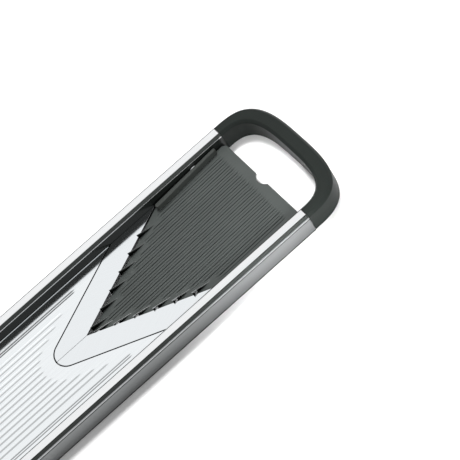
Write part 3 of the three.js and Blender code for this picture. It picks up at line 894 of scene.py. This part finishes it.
def build_latch_parts():
    """The pin with its rounded ends, and the coil of the return spring."""
    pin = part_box("latch_pin")
    radius = (pin[1].x - pin[0].x) / 2
    bm = bmesh.new()
    tall = ARM_TALL - PIN_COVER - PIN_FOOT
    bmesh.ops.create_cone(bm, cap_ends=True, segments=32, radius1=radius, radius2=radius,
                          depth=tall)
    bmesh.ops.translate(bm, vec=(0, 0, PIN_FOOT + tall / 2), verts=bm.verts[:])
    soften(bm, 0.3 * MM, 3)
    bm.transform(PIN_FRAME)
    finish_piece(bm, "latch_pivot_pin", "insert", MATERIALS["fastener"],
                 ["latch_pin"])

    turns = 3
    coil_r = 1.6 * MM
    wire_r = 0.25 * MM
    coil_foot = -5.2 * MM
    rise = 2.1 * MM
    bm = bmesh.new()
    wire = bmesh.ops.create_circle(bm, cap_ends=False, segments=10, radius=wire_r)
    bmesh.ops.rotate(bm, cent=(0, 0, 0), matrix=Matrix.Rotation(pi / 2, 3, "X"),
                     verts=wire["verts"])
    bmesh.ops.translate(bm, vec=(coil_r, 0, coil_foot), verts=wire["verts"])
    steps = turns * 28
    bmesh.ops.spin(bm, geom=bm.verts[:] + bm.edges[:], cent=(0, 0, 0), axis=(0, 0, 1),
                   dvec=(0, 0, rise / steps), angle=2 * pi * turns, steps=steps,
                   use_merge=False)
    bmesh.ops.holes_fill(bm, edges=[e for e in bm.edges if e.is_boundary], sides=0)
    bmesh.ops.recalc_face_normals(bm, faces=bm.faces[:])
    bm.transform(PIN_FRAME)
    finish_piece(bm, "latch_return_spring", "insert", MATERIALS["fastener"],
                 ["latch_spring"], 60)


def build_fasteners():
    """Rivets under the blades with rounded edges; the frame screws keep their shape."""
    for name, _ in SIDES:
        for i in (1, 2):
            part = f"{name}_blade_rivet_{i}"
            softened_copy(part, f"{name}_rivet_{i}", "frame",
                          MATERIALS["fastener"], 0.2 * MM, 2)
        for end in ("rear", "foot"):
            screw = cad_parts[f"{name}_{end}_screw"]
            screw.data.materials.clear()
            screw.data.materials.append(MATERIALS["fastener"])


# ---------------------------------------------------------------------------
# Stage
# ---------------------------------------------------------------------------

def area_light(name, place, aim, width, height, power, glossy=True, cone=180):
    data = bpy.data.lights.new(name, "AREA")
    data.shape = "RECTANGLE"
    data.size = width
    data.size_y = height
    data.energy = power
    data.spread = radians(cone)
    light = bpy.data.objects.new(name, data)
    light.location = place
    light.rotation_euler = (Vector(aim) - Vector(place)).to_track_quat("-Z", "Y").to_euler()
    light.visible_camera = False
    light.visible_glossy = glossy
    bpy.context.scene.collection.objects.link(light)


def build_floor():
    bm = bmesh.new()
    bmesh.ops.create_grid(bm, x_segments=1, y_segments=1, size=6)
    mesh = bpy.data.meshes.new("floor")
    bm.to_mesh(mesh)
    bm.free()
    floor = bpy.data.objects.new("floor", mesh)
    bpy.context.scene.collection.objects.link(floor)
    mat, tree, shader = blank("pale_floor")
    clouds = noise(tree, stretched(tree, (3, 3, 3)), 1.0, 2.0)
    tone = mixed(tree, clouds, (0.9, 0.9, 0.9), (0.93, 0.93, 0.93))
    tree.links.new(tone, shader.inputs["Base Color"])
    shader.inputs["Roughness"].default_value = 0.9
    mesh.materials.append(mat)


def build_stage():
    stage = bpy.context.scene.slicer_stage
    build_floor()
    aim = Vector((stage.aim_x, stage.aim_y, DECK_Z))
    flat = cos(stage.elevation)
    away = Vector((sin(stage.azimuth) * flat, -cos(stage.azimuth) * flat, sin(stage.elevation)))
    data = bpy.data.cameras.new("camera")
    data.lens = stage.lens
    data.sensor_width = 36
    data.clip_end = 50
    camera = bpy.data.objects.new("camera", data)
    turn = (-away).to_track_quat("-Z", "Y").to_matrix().to_4x4()
    camera.matrix_world = (Matrix.Translation(aim + away * stage.distance) @ turn
                           @ Matrix.Rotation(stage.roll, 4, "Z"))
    bpy.context.scene.collection.objects.link(camera)
    bpy.context.scene.camera = camera

    area_light("softbox", (-1.17, 0.2, 1.08), (0, 0.05, 0), 1.3, 1.3, stage.softbox)
    area_light("strip_light", (-1.3, 0.28, 0.73), (0, 0.1, 0), 1.2, 0.28, stage.glint)
    area_light("key", (-0.52, 0.42, 1.4), (0, 0.05, 0), 0.34, 0.34, stage.key, False)
    area_light("low_fill", (0.28, 0.12, 0.14), (0.08, 0.12, 0), 0.1, 0.1, stage.fill, False, 50)

    world = bpy.data.worlds.new("studio")
    world.use_nodes = True
    back = world.node_tree.nodes["Background"]
    back.inputs["Color"].default_value = (1, 1, 1, 1)
    back.inputs["Strength"].default_value = stage.sky
    bpy.context.scene.world = world
    bpy.context.scene.view_settings.view_transform = "Standard"


# ---------------------------------------------------------------------------
# Operators, panel and registration
# ---------------------------------------------------------------------------

class SLICER_OT_materials(bpy.types.Operator):
    """Makes the finishes of the slicer, with its painted light and shade"""
    bl_idname = "slicer.materials"
    bl_label = "Finishes And Painted Light"

    def execute(self, context):
        make_materials()
        return {"FINISHED"}


class SLICER_OT_rails(bpy.types.Operator):
    """Builds the steel-clad side rails"""
    bl_idname = "slicer.rails"
    bl_label = "Rails"

    def execute(self, context):
        build_rails()
        return {"FINISHED"}


class SLICER_OT_handle(bpy.types.Operator):
    """Builds the loop handle"""
    bl_idname = "slicer.handle"
    bl_label = "Handle"

    def execute(self, context):
        build_handle()
        return {"FINISHED"}


class SLICER_OT_foot(bpy.types.Operator):
    """Builds the foot end and its grip pad"""
    bl_idname = "slicer.foot"
    bl_label = "Foot End"

    def execute(self, context):
        build_foot()
        return {"FINISHED"}


class SLICER_OT_runway(bpy.types.Operator):
    """Builds the ridged runway"""
    bl_idname = "slicer.runway"
    bl_label = "Runway"

    def execute(self, context):
        build_runway()
        return {"FINISHED"}


class SLICER_OT_blades(bpy.types.Operator):
    """Builds the two blades of the V"""
    bl_idname = "slicer.blades"
    bl_label = "Blades"

    def execute(self, context):
        build_blades()
        return {"FINISHED"}


class SLICER_OT_supports(bpy.types.Operator):
    """Builds the tray, the blade seats and the brace"""
    bl_idname = "slicer.supports"
    bl_label = "Supports"

    def execute(self, context):
        build_supports()
        return {"FINISHED"}


class SLICER_OT_insert(bpy.types.Operator):
    """Builds the ribbed julienne insert"""
    bl_idname = "slicer.insert"
    bl_label = "Insert"

    def execute(self, context):
        build_insert()
        return {"FINISHED"}


class SLICER_OT_knives(bpy.types.Operator):
    """Builds the upright julienne knives"""
    bl_idname = "slicer.knives"
    bl_label = "Knives"

    def execute(self, context):
        build_knives()
        return {"FINISHED"}


class SLICER_OT_latch(bpy.types.Operator):
    """Builds the latch bar, its pin and its spring"""
    bl_idname = "slicer.latch"
    bl_label = "Latch"

    def execute(self, context):
        build_latch_arm()
        build_latch_parts()
        return {"FINISHED"}


class SLICER_OT_fasteners(bpy.types.Operator):
    """Finishes the rivets and the screws"""
    bl_idname = "slicer.fasteners"
    bl_label = "Fasteners"

    def execute(self, context):
        build_fasteners()
        return {"FINISHED"}


class SLICER_OT_stage(bpy.types.Operator):
    """Sets the floor, the lights and the camera"""
    bl_idname = "slicer.stage"
    bl_label = "Stage"

    def execute(self, context):
        build_stage()
        return {"FINISHED"}


STEPS = (SLICER_OT_materials, SLICER_OT_rails, SLICER_OT_handle, SLICER_OT_foot,
         SLICER_OT_runway, SLICER_OT_blades, SLICER_OT_supports, SLICER_OT_insert,
         SLICER_OT_knives, SLICER_OT_latch, SLICER_OT_fasteners, SLICER_OT_stage)


class SLICER_PT_panel(bpy.types.Panel):
    """Sizes, finishes, painted light and steps of the slicer"""
    bl_label = "V-Blade Slicer"
    bl_idname = "SLICER_PT_panel"
    bl_space_type = "VIEW_3D"
    bl_region_type = "UI"
    bl_category = "Slicer"

    def draw(self, context):
        for group in (context.scene.slicer_sizes, context.scene.slicer_finishes,
                      context.scene.slicer_stage):
            box = self.layout.box()
            for key in group.__annotations__:
                box.prop(group, key)
        for step in STEPS:
            self.layout.operator(step.bl_idname)


GROUPS = (SlicerSizes, SlicerFinishesAndPaintedLight, SlicerStage)


def register():
    for cls in GROUPS + STEPS + (SLICER_PT_panel,):
        bpy.utils.register_class(cls)
    bpy.types.Scene.slicer_sizes = bpy.props.PointerProperty(type=SlicerSizes)
    bpy.types.Scene.slicer_finishes = bpy.props.PointerProperty(type=SlicerFinishesAndPaintedLight)
    bpy.types.Scene.slicer_stage = bpy.props.PointerProperty(type=SlicerStage)


def unregister():
    del bpy.types.Scene.slicer_stage
    del bpy.types.Scene.slicer_finishes
    del bpy.types.Scene.slicer_sizes
    for cls in reversed(GROUPS + STEPS + (SLICER_PT_panel,)):
        bpy.utils.unregister_class(cls)


def main():
    register()
    for step in STEPS:
        group, action = step.bl_idname.split(".")
        getattr(getattr(bpy.ops, group), action)()


if __name__ == "__main__":
    main()
